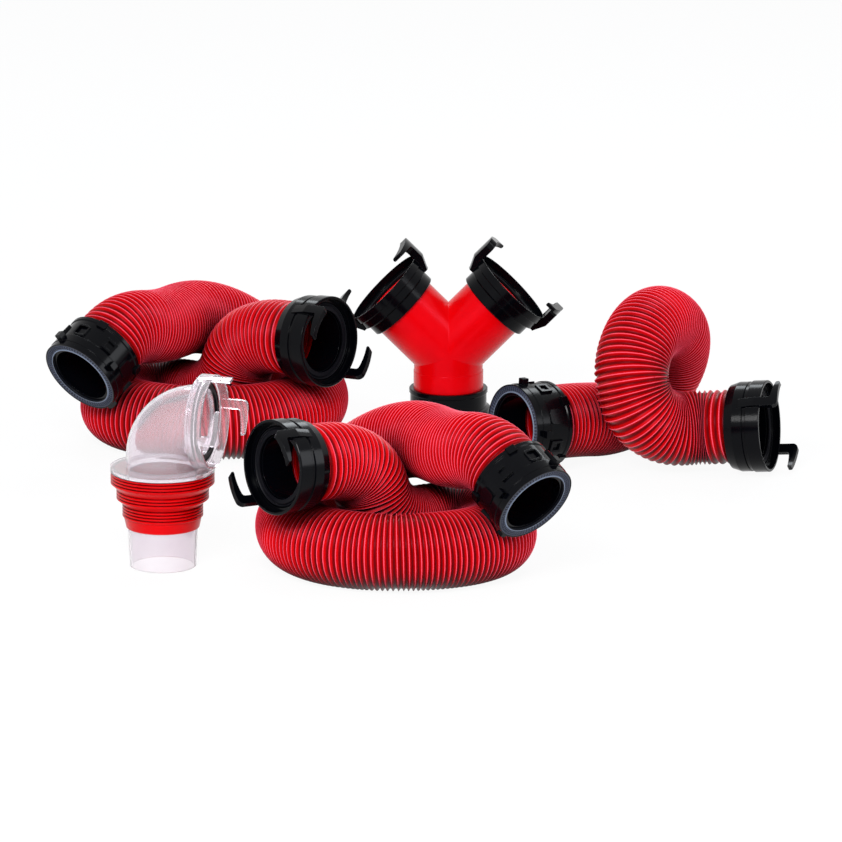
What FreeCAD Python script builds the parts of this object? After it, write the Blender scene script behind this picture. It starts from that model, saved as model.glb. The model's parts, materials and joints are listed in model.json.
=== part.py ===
"""Sewer hose kit for a caravan: two long ribbed hoses, a short one, a wye and a clear elbow.

Each hose carries a hook collar on one end and a lug collar on the other, and both turn on a coupler
that is fixed in the hose. The wye has two hook collars and one lug collar, the elbow one hook collar
and a threaded drain adapter that turns round its spigot. Lengths are in millimetres, Z is up, and the
origin is on the ground under the wye's outlet.
"""
import FreeCAD
import Part
import Sketcher
import math
import os
from FreeCAD import Matrix, Placement, Rotation, Vector

DOC = FreeCAD.newDocument("sewer_hose_kit")
UP = Vector(0, 0, 1)
NOWHERE = Vector(0, 0, 0)

# driving dimensions: name, millimetres, what it is
SIZES = [
    ("crest_radius", 42.5, "outside of the hose over its ribs"),
    ("rib_height", 2.9, "from the hose's skin to a rib's crest"),
    ("hose_wall", 1.4, "hose wall between two ribs"),
    ("cuff_length", 27.0, "plain end of the hose"),
    ("floor_flat", 0.5, "how far a rib is pressed flat by the ground"),
    ("coil_hose", 42.5, "hose radius that the coil's heights are given for"),
    ("coil_top", 135.0, "height of the coil's upper turn with that radius"),
    ("running_gap", 0.06, "radial clearance of a turning fit"),
    ("side_play", 0.1, "axial clearance of a turning fit"),
    ("neck_gap", 0.5, "radial clearance of a collar's neck over the ribs"),
    ("edge_break", 0.8, "chamfer at the rims and bands of a collar"),
    ("cut_over", 1.0, "how far a cut runs past what it cuts"),
    ("ground_gap", 1.0, "height of the short hose's collars over the ground"),
    ("soft_gap", 0.3, "clearance beside rubber and hose"),
    ("barrel_wall", 3.0, "wall of a coupler's barrel"),
    ("barrel_length", 36.0, "length of a coupler's barrel inside the hose"),
    ("flange_step", 2.5, "how far a coupler's flange stands over the ribs"),
    ("flange_thick", 4.0, "thickness of a coupler's flange"),
    ("hook_recess", 9.0, "depth of a hook collar's mouth"),
    ("mouth_step", 4.3, "from the flange's edge to the bore that takes the next fitting's nose"),
    ("mouth_wall", 3.0, "wall round that bore"),
    ("gasket_thick", 3.5, "thickness of a lip gasket"),
    ("gasket_width", 9.0, "from a lip gasket's opening to the flange's edge"),
    ("hook_width", 11.0, "width of a hook's arm"),
    ("hook_reach", 22.0, "how far a hook stands out past the rim"),
    ("hook_thick", 6.0, "radial thickness of a hook"),
    ("hook_lift", 0.7, "from the mouth's bore to the inside of a hook"),
    ("finger_length", 26.0, "length of a hook's finger beyond its arm"),
    ("finger_root", 10.0, "width of the finger at its arm"),
    ("finger_tip", 4.5, "width of the finger at its tip"),
    ("fairing_length", 26.0, "raised root of a hook behind the rim"),
    ("band_length", 16.0, "front band of a hook collar"),
    ("groove_width", 4.0, "groove behind the front band"),
    ("groove_depth", 2.5, "depth of that groove"),
    ("grip_step", 1.1, "step from the front band down to the grip band"),
    ("grip_length", 32.0, "from the rim to the end of the grip band"),
    ("hook_collar_length", 42.0, "length of a hose's hook collar"),
    ("tail_wall", 5.0, "wall at the tail of a hook collar"),
    ("nose_play", 1.4, "radial clearance of a nose in a mouth"),
    ("nose_length", 8.0, "plain nose ahead of the lugs"),
    ("nose_step", 0.5, "step from the nose to the band that carries the lugs"),
    ("lug_recess", 3.0, "from a lug collar's rim to the flange behind it"),
    ("lug_size", 8.0, "side of a square lug"),
    ("lug_height", 7.1, "how far the lugs stand out of the nose"),
    ("waist_gap", 2.0, "from the lugs to the collar's waist"),
    ("waist_slope", 1.5, "length of the slope down to the waist"),
    ("lug_collar_length", 50.0, "length of a hose's lug collar"),
    ("lug_wall", 3.8, "wall of a lug collar"),
    ("raised_grip", 2.4, "how far a square grip stands out of a lug collar"),
    ("grip_side", 15.0, "side of a square grip"),
    ("grip_gap", 3.0, "from the waist to a square grip"),
    ("thumb_pad", 17.0, "side of the raised pad round a thumb pocket"),
    ("thumb_raise", 1.2, "how far that pad stands out of a lug collar"),
    ("thumb_radius", 6.5, "radius of a thumb pocket"),
    ("thumb_depth", 1.7, "how deep a thumb pocket goes below the collar's outside"),
    ("lip_length", 6.0, "length of a lug collar's rear lip"),
    ("lip_height", 1.2, "how far that lip stands out"),
    ("tail_tab_width", 11.0, "width of the tab on the rear lip"),
    ("tail_tab_length", 9.0, "length of that tab"),
    ("tail_tab_height", 2.6, "how far that tab stands out of the collar"),
    ("grip_frame", 3.0, "width of the grip's raised border"),
    ("nose_wall", 1.2, "wall of the nose round a face seal"),
    ("seal_width", 8.4, "width of a face seal's ring"),
    ("seal_sink", 0.2, "how far a face seal lies behind its collar's rim"),
    ("tube_step", 5.0, "how far a flange stands over the wye's and the elbow's tubes"),
    ("wye_wall", 3.0, "wall of the wye's tubes"),
    ("wye_height", 85.6, "where the wye's three axes meet"),
    ("wye_leg", 106.0, "from that point to a leg collar's rim"),
    ("wye_ledge", 61.6, "height of the ledge round the wye's outlet"),
    ("wye_ledge_step", 0.6, "step of that ledge"),
    ("wye_collar_length", 33.0, "length of a wye's hook collar"),
    ("wye_band_thin", 1.6, "how much thinner its front band is than a hose's"),
    ("wye_band_step", 1.4, "step behind that band"),
    ("wye_shoulder", 2.0, "length of each step down to its tail"),
    ("wye_hook_width", 18.0, "width of a wye hook's arm"),
    ("wye_hook_reach", 24.0, "how far a wye hook stands out past the rim"),
    ("wye_hook_thick", 9.0, "radial thickness of a wye hook"),
    ("wye_outlet_collar", 41.0, "length of the wye's lug collar"),
    ("elbow_wall", 2.6, "wall of the elbow's tube"),
    ("elbow_throat", 1.5, "radius of the inner side of the elbow's bend"),
    ("elbow_run", 6.6, "straight run from the bend to the mouth's flange face"),
    ("elbow_hook_thick", 3.2, "radial thickness of the elbow's hooks"),
    ("elbow_clearance", 0.3, "between the elbow's disc and its turning hooks"),
    ("disc_lip", 0.4, "how far the clear disc stands past the widest thread"),
    ("disc_thick", 5.0, "thickness of that disc"),
    ("adapter_top", 107.0, "height of the adapter's top"),
    ("spigot_radius", 38.5, "outside of the clear spigot"),
    ("spigot_foot", 36.5, "outside of the spigot at the ground"),
    ("spigot_wall", 2.4, "wall of the spigot"),
    ("adapter_foot", 44.0, "height of the adapter's lower end"),
    ("adapter_wall", 3.0, "wall of the adapter under its threads"),
    ("bearing_length", 22.0, "length of the adapter's fit on the spigot"),
    ("thread_depth", 1.5, "depth of the adapter's thread"),
    ("thread_pitch", 3.5, "pitch of the adapter's thread"),
    ("three_inch_step", 5.9, "from the spigot to the three inch pipe thread, which makes its radius 44.4"),
    ("three_and_half_step", 6.4, "from there to the three and a half inch pipe thread, of radius 50.8"),
    ("four_inch_step", 6.3, "from there to the four inch pipe thread, of radius 57.1"),
    ("shoulder_height", 7.0, "height of a shoulder between two threads"),
]

# counts
COIL_RIBS = 76
SHORT_RIBS = 48
HOOKS = 2
LUGS = 4
FOUR_INCH_CRESTS = 4
THREE_AND_HALF_CRESTS = 3
THREE_INCH_CRESTS = 4

# degrees round a collar's axis
COIL_HOOK_ROLL = 36.0
COIL_LUG_ROLL = 18.0
SHORT_HOOK_ROLL = 46.0
ELBOW_HOOK_ROLL = -80.0
ELBOW_TAB_TURN = 90.0
WYE_LUG_ROLL = 32.0
WYE_LEAN = 45.0
THUMB_TURN = 22.0
TAIL_TAB_TURN = 43.0
GRIP_TURN = 70.0


def number(size):
    """The millimetres of a size or of a plain number."""
    return size.value if isinstance(size, Size) else float(size)


def words(size):
    """The same size as the sheet's own expression."""
    return size.text if isinstance(size, Size) else repr(float(size))


class Size:
    """A length of the sheet, or a sum or share of such lengths, as a number and as an expression."""

    def __init__(self, value, text):
        self.value = value
        self.text = text

    def __add__(self, other):
        return Size(self.value + number(other), "(" + self.text + " + " + words(other) + ")")

    def __sub__(self, other):
        return Size(self.value - number(other), "(" + self.text + " - " + words(other) + ")")

    def __mul__(self, share):
        return Size(self.value * share, "(" + self.text + " * " + words(share) + ")")

    def __neg__(self):
        return Size(-self.value, "(0 - " + self.text + ")")


def sheet():
    """The spreadsheet of driving dimensions, and the same sizes by name."""
    page = DOC.addObject("Spreadsheet::Sheet", "Sizes")
    sizes = {}
    for row, (name, value, meaning) in enumerate(SIZES, start=1):
        page.set("A" + str(row), name)
        page.set("B" + str(row), str(value))
        page.set("C" + str(row), meaning)
        page.setAlias("B" + str(row), name)
        sizes[name] = Size(value, "Sizes." + name)
    DOC.recompute()
    return sizes


class Sizes:
    """The driving dimensions by name, so that S.crest_radius is the sheet's cell."""

    def __init__(self, sizes):
        self.__dict__.update(sizes)


S = Sizes(sheet())

# dimensions that follow from them
ROOT = S.crest_radius - S.rib_height
THREE_INCH = S.spigot_radius + S.three_inch_step
THREE_AND_HALF = THREE_INCH + S.three_and_half_step
FOUR_INCH = THREE_AND_HALF + S.four_inch_step
HOSE_BORE = ROOT - S.hose_wall
BARREL = HOSE_BORE - S.soft_gap
COUPLER_BORE = BARREL - S.barrel_wall
FLANGE = S.crest_radius + S.flange_step
COUNTERBORE = FLANGE + S.running_gap
HOSE_NECK = S.crest_radius + S.neck_gap
MOUTH = FLANGE + S.mouth_step
MOUTH_OUTSIDE = MOUTH + S.mouth_wall
HOOK_INSIDE = MOUTH + S.hook_lift
HOOK_OUTSIDE = HOOK_INSIDE + S.hook_thick
NOSE = MOUTH - S.nose_play
LUG_TIP = NOSE + S.lug_height
SEAL_EDGE = NOSE - S.nose_wall - S.soft_gap
SEAL_BORE = SEAL_EDGE - S.seal_width
HOOK_FRONT = S.hook_recess + S.seal_sink + S.gasket_thick
HOOK_STACK = HOOK_FRONT + S.flange_thick
LUG_STACK = S.lug_recess + S.flange_thick
TUBE = FLANGE - S.tube_step
ELBOW_BEND = TUBE + S.elbow_throat
ELBOW_REACH = ELBOW_BEND + S.elbow_run + HOOK_FRONT
ELBOW_COLLAR_LENGTH = ELBOW_REACH - ELBOW_BEND - S.side_play
ELBOW_HOOK_OUTSIDE = HOOK_INSIDE + S.elbow_hook_thick
ELBOW_HEIGHT = S.adapter_top + S.disc_thick + ELBOW_HOOK_OUTSIDE + S.elbow_clearance


def seat(mouth, outward, roll=0.0, up=UP):
    """Placement whose Z axis leaves the mouth, and whose X axis is the upward one turned by roll."""
    facing = Rotation(up, up.cross(outward), outward, "ZXY")
    return Placement(mouth, facing * Rotation(UP, roll))


def origin_plane(body, role):
    """One of a body's own origin planes."""
    for feature in body.Origin.OriginFeatures:
        if feature.Role == role:
            return feature
    raise ValueError(role)


def body_of(name, place):
    """An empty body under its own name."""
    body = DOC.addObject("PartDesign::Body", name)
    body.Label = name
    body.Placement = place
    return body


def reach_of_round(points, rounds, index):
    """How far the round of a corner runs along its two sides."""
    if not rounds[index]:
        return 0.0
    before = points[index - 1] - points[index]
    after = points[(index + 1) % len(points)] - points[index]
    return rounds[index] / math.tan(before.getAngle(after) / 2)


def pin_point(sketch, geometry, position, corner):
    """Hold a sketch point at the corner's two coordinates."""
    for kind, size in zip(("DistanceX", "DistanceY"), corner):
        index = sketch.addConstraint(Sketcher.Constraint(kind, -1, 1, geometry, position, number(size)))
        if isinstance(size, Size):
            sketch.setExpression("Constraints[" + str(index) + "]", size.text)


def round_corner(sketch, corner, before, after, ends):
    """An arc between two sides, held by their crossing point and its radius."""
    start, end, crossing = ends
    radius = number(corner[2])
    into = (crossing - start).normalize()
    out = (end - crossing).normalize()
    left = into.cross(out).z > 0
    side = Vector(-into.y, into.x, 0) * (1 if left else -1)
    centre = start + side * radius
    angles = [math.atan2(p.y - centre.y, p.x - centre.x) for p in (start, end)]
    if not left:
        angles.reverse()
    arc = sketch.addGeometry(Part.ArcOfCircle(Part.Circle(centre, UP, radius), angles[0], angles[1]), False)
    first, last = (1, 2) if left else (2, 1)
    cross = sketch.addGeometry(Part.Point(crossing), True)
    pin_point(sketch, cross, 1, corner[:2])
    sketch.addConstraint(Sketcher.Constraint("PointOnObject", cross, 1, before))
    sketch.addConstraint(Sketcher.Constraint("PointOnObject", cross, 1, after))
    sketch.addConstraint(Sketcher.Constraint("Tangent", before, 2, arc, first))
    sketch.addConstraint(Sketcher.Constraint("Tangent", arc, last, after, 1))
    index = sketch.addConstraint(Sketcher.Constraint("Radius", arc, radius))
    if isinstance(corner[2], Size):
        sketch.setExpression("Constraints[" + str(index) + "]", corner[2].text)


def draw(sketch, corners):
    """A closed outline. A corner is x and y, with a radius as third value where it is rounded."""
    points = [Vector(number(c[0]), number(c[1]), 0) for c in corners]
    rounds = [number(c[2]) if len(c) > 2 else 0.0 for c in corners]
    count = len(points)
    sides = []
    ends = []
    for i in range(count):
        j = (i + 1) % count
        along = (points[j] - points[i]).normalize()
        start = points[i] + along * reach_of_round(points, rounds, i)
        end = points[j] - along * reach_of_round(points, rounds, j)
        sides.append(sketch.addGeometry(Part.LineSegment(start, end), False))
        ends.append((start, end))
    for i, corner in enumerate(corners):
        before, after = sides[i - 1], sides[i]
        if rounds[i]:
            round_corner(sketch, corner, before, after, (ends[i - 1][1], ends[i][0], points[i]))
        else:
            sketch.addConstraint(Sketcher.Constraint("Coincident", before, 2, after, 1))
            pin_point(sketch, after, 1, corner)


def sketch_on(body, name, role, outlines, turn=0.0, out=None):
    """Outlines in one sketch on a plane of the body's origin, turned about its upright axis and set out."""
    sketch = body.newObject("Sketcher::SketchObject", name)
    sketch.AttachmentSupport = [(origin_plane(body, role), "")]
    sketch.MapMode = "FlatFace"
    facing = Rotation(Vector(0, 1, 0), turn)
    sketch.AttachmentOffset = Placement(NOWHERE, facing)
    if out is not None:
        way = facing.multVec(UP)
        sketch.setExpression("AttachmentOffset.Base.x", (out * way.x).text)
        sketch.setExpression("AttachmentOffset.Base.z", (out * way.z).text)
    for corners in outlines:
        draw(sketch, corners)
    return sketch


def turned(body, name, corners, kind="PartDesign::Revolution"):
    """A revolved profile about the body's Z axis, added or, as a groove, taken away."""
    profile = sketch_on(body, name + "_profile", "XZ_Plane", [corners])
    feature = body.newObject(kind, name)
    feature.Profile = profile
    feature.ReferenceAxis = (profile, ["V_Axis"])
    feature.Angle = 360
    DOC.recompute()
    return feature


def grooved(body, name, corners):
    """A turned cut, checked to take material away."""
    before = body.Shape.Volume
    feature = turned(body, name, corners, "PartDesign::Groove")
    if not body.Shape.Volume < before:
        raise ValueError(name + " cuts nothing")
    return feature


def repeated(body, name, feature, copies):
    """A feature repeated round Z."""
    ring = body.newObject("PartDesign::PolarPattern", name + "_ring")
    ring.Originals = [feature]
    ring.Axis = (feature.Profile[0], ["V_Axis"])
    ring.Angle = 360
    ring.Occurrences = copies
    body.Tip = ring
    DOC.recompute()


def raised(body, name, outlines, length, copies, turn=0.0):
    """Outlines on the plane square to X, padded outward and repeated round Z."""
    pad = body.newObject("PartDesign::Pad", name)
    pad.Profile = sketch_on(body, name + "_outline", "YZ_Plane", outlines, turn)
    pad.setExpression("Length", words(length))
    DOC.recompute()
    repeated(body, name, pad, copies)


def pocketed(body, name, height, radius, floor, copies, turn=0.0):
    """Round pockets in the outside, cut outward from their floor and repeated round Z."""
    before = body.Shape.Volume
    sketch = sketch_on(body, name + "_outline", "YZ_Plane", [], turn, floor)
    circle = sketch.addGeometry(Part.Circle(Vector(0, number(height), 0), UP, number(radius)), False)
    pin_point(sketch, circle, 3, (ZERO, height))
    index = sketch.addConstraint(Sketcher.Constraint("Radius", circle, number(radius)))
    sketch.setExpression("Constraints[" + str(index) + "]", words(radius))
    pocket = body.newObject("PartDesign::Pocket", name)
    pocket.Profile = sketch
    pocket.Reversed = True
    pocket.setExpression("Length", words(radius))
    DOC.recompute()
    repeated(body, name, pocket, copies)
    if not body.Shape.Volume < before:
        raise ValueError(name + " cuts nothing")


def rectangle(middle, width, low, high):
    """Corners of a rectangle about a middle line."""
    half = width * 0.5
    return [(middle - half, low), (middle + half, low), (middle + half, high), (middle - half, high)]


ZERO = S.crest_radius * 0.0


def coupler(name, place, recess):
    """Barrel that is fixed in the hose, with the flange that a collar turns on."""
    body = body_of(name, place)
    back = -(recess + S.flange_thick)
    chamfer = S.barrel_wall * 0.5
    tail = back - S.barrel_length
    turned(body, name + "_turned", [
        (COUPLER_BORE, -recess), (COUPLER_BORE, tail), (BARREL - chamfer, tail), (BARREL, tail + chamfer),
        (BARREL, back), (FLANGE, back), (FLANGE, -recess)])


def lip_gasket(name, place):
    """Rubber ring ahead of the flange, with a thin lip towards the bore."""
    body = body_of(name, place)
    back = -HOOK_FRONT
    front = back + S.gasket_thick
    outside = FLANGE - S.soft_gap
    lip = FLANGE - S.gasket_width
    step = S.gasket_thick * 0.4
    turned(body, name + "_turned", [
        (lip, front), (lip, front - step), (lip + step, back), (outside, back),
        (outside, front - step), (outside - step, front), (outside - step * 2.0, front - step),
        (outside - step * 3.0, front)])


def face_seal(name, place):
    """Rubber ring on the front of a lug coupler, with concentric ribs on its face."""
    body = body_of(name, place)
    back = -S.lug_recess
    face = -S.seal_sink
    valley = face - S.lug_recess * 0.3
    span = S.seal_width
    corners = [(SEAL_BORE, back), (SEAL_EDGE, back), (SEAL_EDGE, face)]
    for share in (0.75, 0.5, 0.25):
        middle = SEAL_BORE + span * share
        corners += [(middle + span * 0.09, face), (middle, valley), (middle - span * 0.09, face)]
    corners.append((SEAL_BORE, face))
    turned(body, name + "_turned", corners)


def hook_outline(width, reach, root, tip, length, fairing):
    """Arm and finger of a hook, seen from outside: across is the first value, outward the second."""
    half = width * 0.5
    end = -(half + length)
    inner = reach - root
    return [(half, -fairing), (half, reach, width * 0.55), (end, reach - root * 0.25, tip * 0.4),
            (end, reach - root * 0.25 - tip, tip * 0.4), (-half, inner, width * 0.3), (-half, -fairing)]


def mirrored(corners):
    """The same outline with its first values reversed."""
    return [(-c[0],) + tuple(c[1:]) for c in reversed(corners)]


def hook_collar(name, place, outside, neck, hook, left_handed=False):
    """Locking collar with opposite hooks.

    outside is its outer profile from the rim to its tail, neck its bore behind the flange, and hook
    holds the sizes of one hook.
    """
    body = body_of(name, place)
    tail = outside[-1][1]
    turned(body, name + "_blank", [(ZERO, ZERO)] + outside + [(ZERO, tail)])
    outline = hook_outline(hook["width"], hook["reach"], hook["root"], S.finger_tip, S.finger_length,
                           hook["fairing"])
    hook_outside = HOOK_INSIDE + hook["thick"]
    rough = hook_outside + S.cut_over
    raised(body, name + "_hook", [mirrored(outline) if left_handed else outline], rough, HOOKS)
    if "tab" in hook:
        tab = rectangle(ZERO, hook["width"], -hook["fairing"], hook["reach"])
        raised(body, name + "_tab", [tab], rough, 1, ELBOW_TAB_TURN)
    far = hook_outside + S.finger_length
    beyond = hook["reach"] + S.cut_over
    root = -hook["fairing"]
    grooved(body, name + "_trim", [
        (hook_outside, beyond), (hook_outside, root * 0.25), (MOUTH_OUTSIDE, root + S.edge_break),
        (MOUTH_OUTSIDE, root - S.cut_over), (far, root - S.cut_over), (far, beyond)])
    back = -(HOOK_STACK + S.side_play)
    past = tail - S.cut_over
    grooved(body, name + "_bore", [
        (ZERO, beyond), (ZERO, past), (neck, past), (neck, back), (COUNTERBORE, back),
        (COUNTERBORE, -S.hook_recess), (MOUTH, -S.hook_recess), (MOUTH, ZERO),
        (HOOK_INSIDE, ZERO), (HOOK_INSIDE, beyond)])


def hose_hook_collar(name, place, left_handed=False):
    """Hook collar of a hose, with a groove behind its front band and a tapered tail."""
    band = -S.band_length
    groove = band - S.groove_width
    low = MOUTH_OUTSIDE - S.groove_depth
    middle = MOUTH_OUTSIDE - S.grip_step
    tail = -S.hook_collar_length
    outside = [(MOUTH_OUTSIDE - S.edge_break, ZERO), (MOUTH_OUTSIDE, -S.edge_break), (MOUTH_OUTSIDE, band),
               (low, band - S.edge_break), (low, groove), (middle, groove - S.edge_break),
               (middle, -S.grip_length), (HOSE_NECK + S.tail_wall, tail)]
    hook = {"width": S.hook_width, "reach": S.hook_reach, "root": S.finger_root, "thick": S.hook_thick,
            "fairing": S.fairing_length}
    hook_collar(name, place, outside, HOSE_NECK, hook, left_handed)


def wye_hook_collar(name, place):
    """Hook collar of the wye: shorter, with broad claws."""
    tail = -S.wye_collar_length
    neck = TUBE + S.running_gap
    front = MOUTH_OUTSIDE - S.wye_band_thin
    middle = front - S.wye_band_step
    low = neck + S.tail_wall
    step = -(HOOK_STACK + S.wye_shoulder)
    outside = [(front - S.edge_break, ZERO), (front, -S.edge_break), (front, -S.hook_recess),
               (middle, -S.hook_recess - S.edge_break), (middle, step), (low, step - S.wye_shoulder),
               (low, tail + S.edge_break), (low - S.edge_break, tail)]
    hook = {"width": S.wye_hook_width, "reach": S.wye_hook_reach, "root": S.finger_root,
            "thick": S.wye_hook_thick, "fairing": S.wye_collar_length * 0.6}
    hook_collar(name, place, outside, neck, hook)


def elbow_hook_collar(name, place):
    """Hook collar of the elbow: a plain clear ring with the hose's hooks."""
    tail = -ELBOW_COLLAR_LENGTH
    neck = TUBE + S.running_gap
    outside = [(MOUTH_OUTSIDE - S.edge_break, ZERO), (MOUTH_OUTSIDE, -S.edge_break), (MOUTH_OUTSIDE, -HOOK_STACK),
               (MOUTH_OUTSIDE - S.tail_wall * 0.5, tail)]
    hook = {"width": S.hook_width, "reach": S.hook_reach, "root": S.finger_root,
            "thick": S.elbow_hook_thick, "fairing": ELBOW_COLLAR_LENGTH * 0.8, "tab": True}
    hook_collar(name, place, outside, neck, hook)


def lug_collar(name, place, length, neck, side=0):
    """Lug collar: plain nose, square lugs and a rear lip.

    A hose's collar, whose side is 1 or, left-handed, -1, also has thumb pockets, square grips and tabs.
    """
    body = body_of(name, place)
    barrel = neck + S.lug_wall
    band = NOSE + S.nose_step
    waist = -(S.nose_length + S.lug_size + S.waist_gap)
    tail = -length
    lip = barrel + S.lip_height
    turned(body, name + "_blank", [
        (ZERO, ZERO), (NOSE, ZERO), (NOSE, -S.nose_length), (band, -S.nose_length),
        (band, waist), (barrel, waist - S.waist_slope),
        (barrel, tail + S.lip_length), (lip, tail + S.lip_length - S.lip_height), (lip, tail + S.edge_break),
        (lip - S.edge_break, tail), (ZERO, tail)])
    lug = rectangle(ZERO, S.lug_size, -(S.nose_length + S.lug_size), -S.nose_length)
    raised(body, name + "_lug", [lug], LUG_TIP, LUGS)
    if side:
        high = waist - S.grip_gap
        middle = high - S.grip_side * 0.5
        low = high - S.grip_side
        inside = S.grip_side - S.grip_frame * 2.0
        frame = rectangle(ZERO, S.grip_side, low, high)
        hollow = rectangle(ZERO, inside, low + S.grip_frame, high - S.grip_frame)
        raised(body, name + "_grip", [frame, hollow], barrel + S.raised_grip, LUGS, side * GRIP_TURN)
        pad = rectangle(ZERO, S.thumb_pad, middle - S.thumb_pad * 0.5, middle + S.thumb_pad * 0.5)
        pad = [corner + (S.thumb_pad * 0.25,) for corner in pad]
        raised(body, name + "_pad", [pad], barrel + S.thumb_raise, LUGS, side * THUMB_TURN)
        pocketed(body, name + "_thumb", middle, S.thumb_radius, barrel - S.thumb_depth, LUGS, side * THUMB_TURN)
        tab = rectangle(ZERO, S.tail_tab_width, tail, tail + S.tail_tab_length)
        raised(body, name + "_tab", [tab], barrel + S.tail_tab_height, LUGS, side * TAIL_TAB_TURN)
    past = tail - S.cut_over
    back = -(LUG_STACK + S.side_play)
    around_seal = SEAL_EDGE + S.soft_gap
    behind_seal = -(S.lug_recess + S.soft_gap)
    grooved(body, name + "_bore", [
        (ZERO, S.cut_over), (ZERO, past), (neck, past), (neck, back), (COUNTERBORE, back),
        (COUNTERBORE, behind_seal), (around_seal, behind_seal), (around_seal, S.cut_over)])


def smooth(route):
    """Smooth line that has the route's points as its poles."""
    count = len(route)
    curve = Part.BSplineCurve()
    knots = [float(i) for i in range(count - 1)]
    repeats = [3] + [1] * (count - 3) + [3]
    curve.buildFromPolesMultsKnots(route, repeats, knots, False, 2)
    return curve


def ring_on(curve, distance, radius, across):
    """Circle square to the line, whose start lies on the side given by across."""
    spot = curve.parameterAtDistance(distance, curve.FirstParameter) if distance > 0 else curve.FirstParameter
    centre = curve.value(spot)
    along = curve.tangent(spot)[0]
    first = (across - along * across.dot(along)).normalize()
    second = along.cross(first)
    circle = Part.Circle(NOWHERE, UP, radius)
    circle.transform(Matrix(first.x, second.x, along.x, centre.x, first.y, second.y, along.y, centre.y,
                            first.z, second.z, along.z, centre.z, 0, 0, 0, 1))
    return Part.Wire(circle.toShape()), first


def loft_along(curve, stations):
    """Ruled skin through circles at the given distances and radii, turned as little as it can be."""
    wires = []
    across = UP
    for distance, radius in stations:
        wire, across = ring_on(curve, distance, radius, across)
        wires.append(wire)
    return wires, Part.makeLoft(wires, False, True)


def ribbed_hose(name, route, ribs, place):
    """Hose with its bore and ribs along a line, plain at both ends and pressed flat on the ground."""
    curve = smooth(route)
    length = curve.length()
    cuff = S.cuff_length.value
    pitch = (length - 2 * cuff) / ribs
    low, high = ROOT.value, S.crest_radius.value
    outer = [(0.0, low)]
    for rib in range(ribs):
        start = cuff + rib * pitch
        outer += [(start, low), (start + 0.3 * pitch, low), (start + 0.45 * pitch, high),
                  (start + 0.85 * pitch, high)]
    outer += [(length - cuff, low), (length, low)]
    inner = [(length * i / ribs, HOSE_BORE.value) for i in range(ribs + 1)]
    outer_rings, skin = loft_along(curve, outer)
    inner_rings, lining = loft_along(curve, inner)
    faces = skin.Faces + lining.Faces
    for end in (0, -1):
        faces.append(Part.makeFace([outer_rings[end], inner_rings[end]], "Part::FaceMakerBullseye"))
    shell = Part.makeShell(faces)
    shell.sewShape()
    tube = Part.makeSolid(Part.Shell(shell.Faces))
    if tube.Volume < 0:
        tube.reverse()
    box = tube.BoundBox
    ground = Part.makeBox(box.XLength + 2, box.YLength + 2, 50, Vector(box.XMin - 1, box.YMin - 1, -50))
    tube = tube.cut(ground)
    piece = DOC.addObject("Part::Feature", name)
    piece.Label = name
    piece.Shape = tube.Solids[0]
    piece.Placement = place
    print(name, "length", round(length, 1), "least radius", round(least_radius(curve), 1),
          "least gap to itself", round(least_gap(curve), 1), "solids", len(tube.Solids))


def least_radius(curve):
    """Tightest bend of a line."""
    first, last = curve.FirstParameter, curve.LastParameter
    spots = [first + (last - first) * (i + 0.5) / 400 for i in range(400)]
    return 1 / max(curve.curvature(spot) for spot in spots)


def least_gap(curve):
    """Least distance between the skins of two stretches that lie more than a half turn apart."""
    length = curve.length()
    step = 6.0
    apart = math.pi * S.crest_radius.value * 1.3
    count = int(length / step)
    points = [curve.value(curve.parameterAtDistance(i * step + 0.01, curve.FirstParameter)) for i in range(count)]
    least = length
    for i in range(count):
        for j in range(i + int(apart / step), count):
            least = min(least, points[i].distanceToPoint(points[j]))
    return least - 2 * S.crest_radius.value


# places of the kit's pieces on the ground, from the origin under the wye's outlet
FRONT_PLACE = Vector(-61, -637, 0)
LEFT_PLACE = Vector(-271, -61, 0)
SHORT_PLACE = Vector(-61, -637, 0)
ELBOW_PLACE = Vector(-317, -644, 0)
ELBOW_TURN = -17.0

# height of the line where a hose lies on the ground
LOW = (S.crest_radius - S.floor_flat).value

# how far the coil's upper turn rises for each millimetre that the hose's radius grows
TURN_RISE = 3.2


def risen(height):
    """A height over the lower turn, where the upper turn keeps clear of it for any hose radius."""
    share = (height - S.coil_hose.value) / (S.coil_top - S.coil_hose).value
    return height + TURN_RISE * share * (S.crest_radius - S.coil_hose).value


# the long hose, from the middle of its coil
COIL_HOOK_MOUTH = Vector(-134, -116, risen(138))
COIL_HOOK_WAY = Vector(-0.785, -0.616, 0.064).normalize()
COIL_LUG_MOUTH = Vector(151, -135, risen(102))
COIL_LUG_WAY = Vector(0.570, -0.645, -0.510).normalize()
COIL_MIDDLE = [
    (-33, -36, risen(114)), (-21, -26, risen(69)), (10, -2, LOW), (42, 21, LOW), (72, 25, LOW), (98, 12, LOW),
    (112, -13, LOW), (112, -42, LOW), (100, -70, LOW), (77, -93, LOW), (45, -108, LOW), (7, -115, LOW),
    (-34, -110, LOW), (-74, -90, LOW), (-102, -55, LOW), (-113, -14, LOW), (-112, 30, LOW),
    (-96, 72, risen(52)), (-58, 92, risen(80)), (-13, 69, risen(117)), (27, 31, risen(135)),
    (60, -26, risen(134))]

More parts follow.
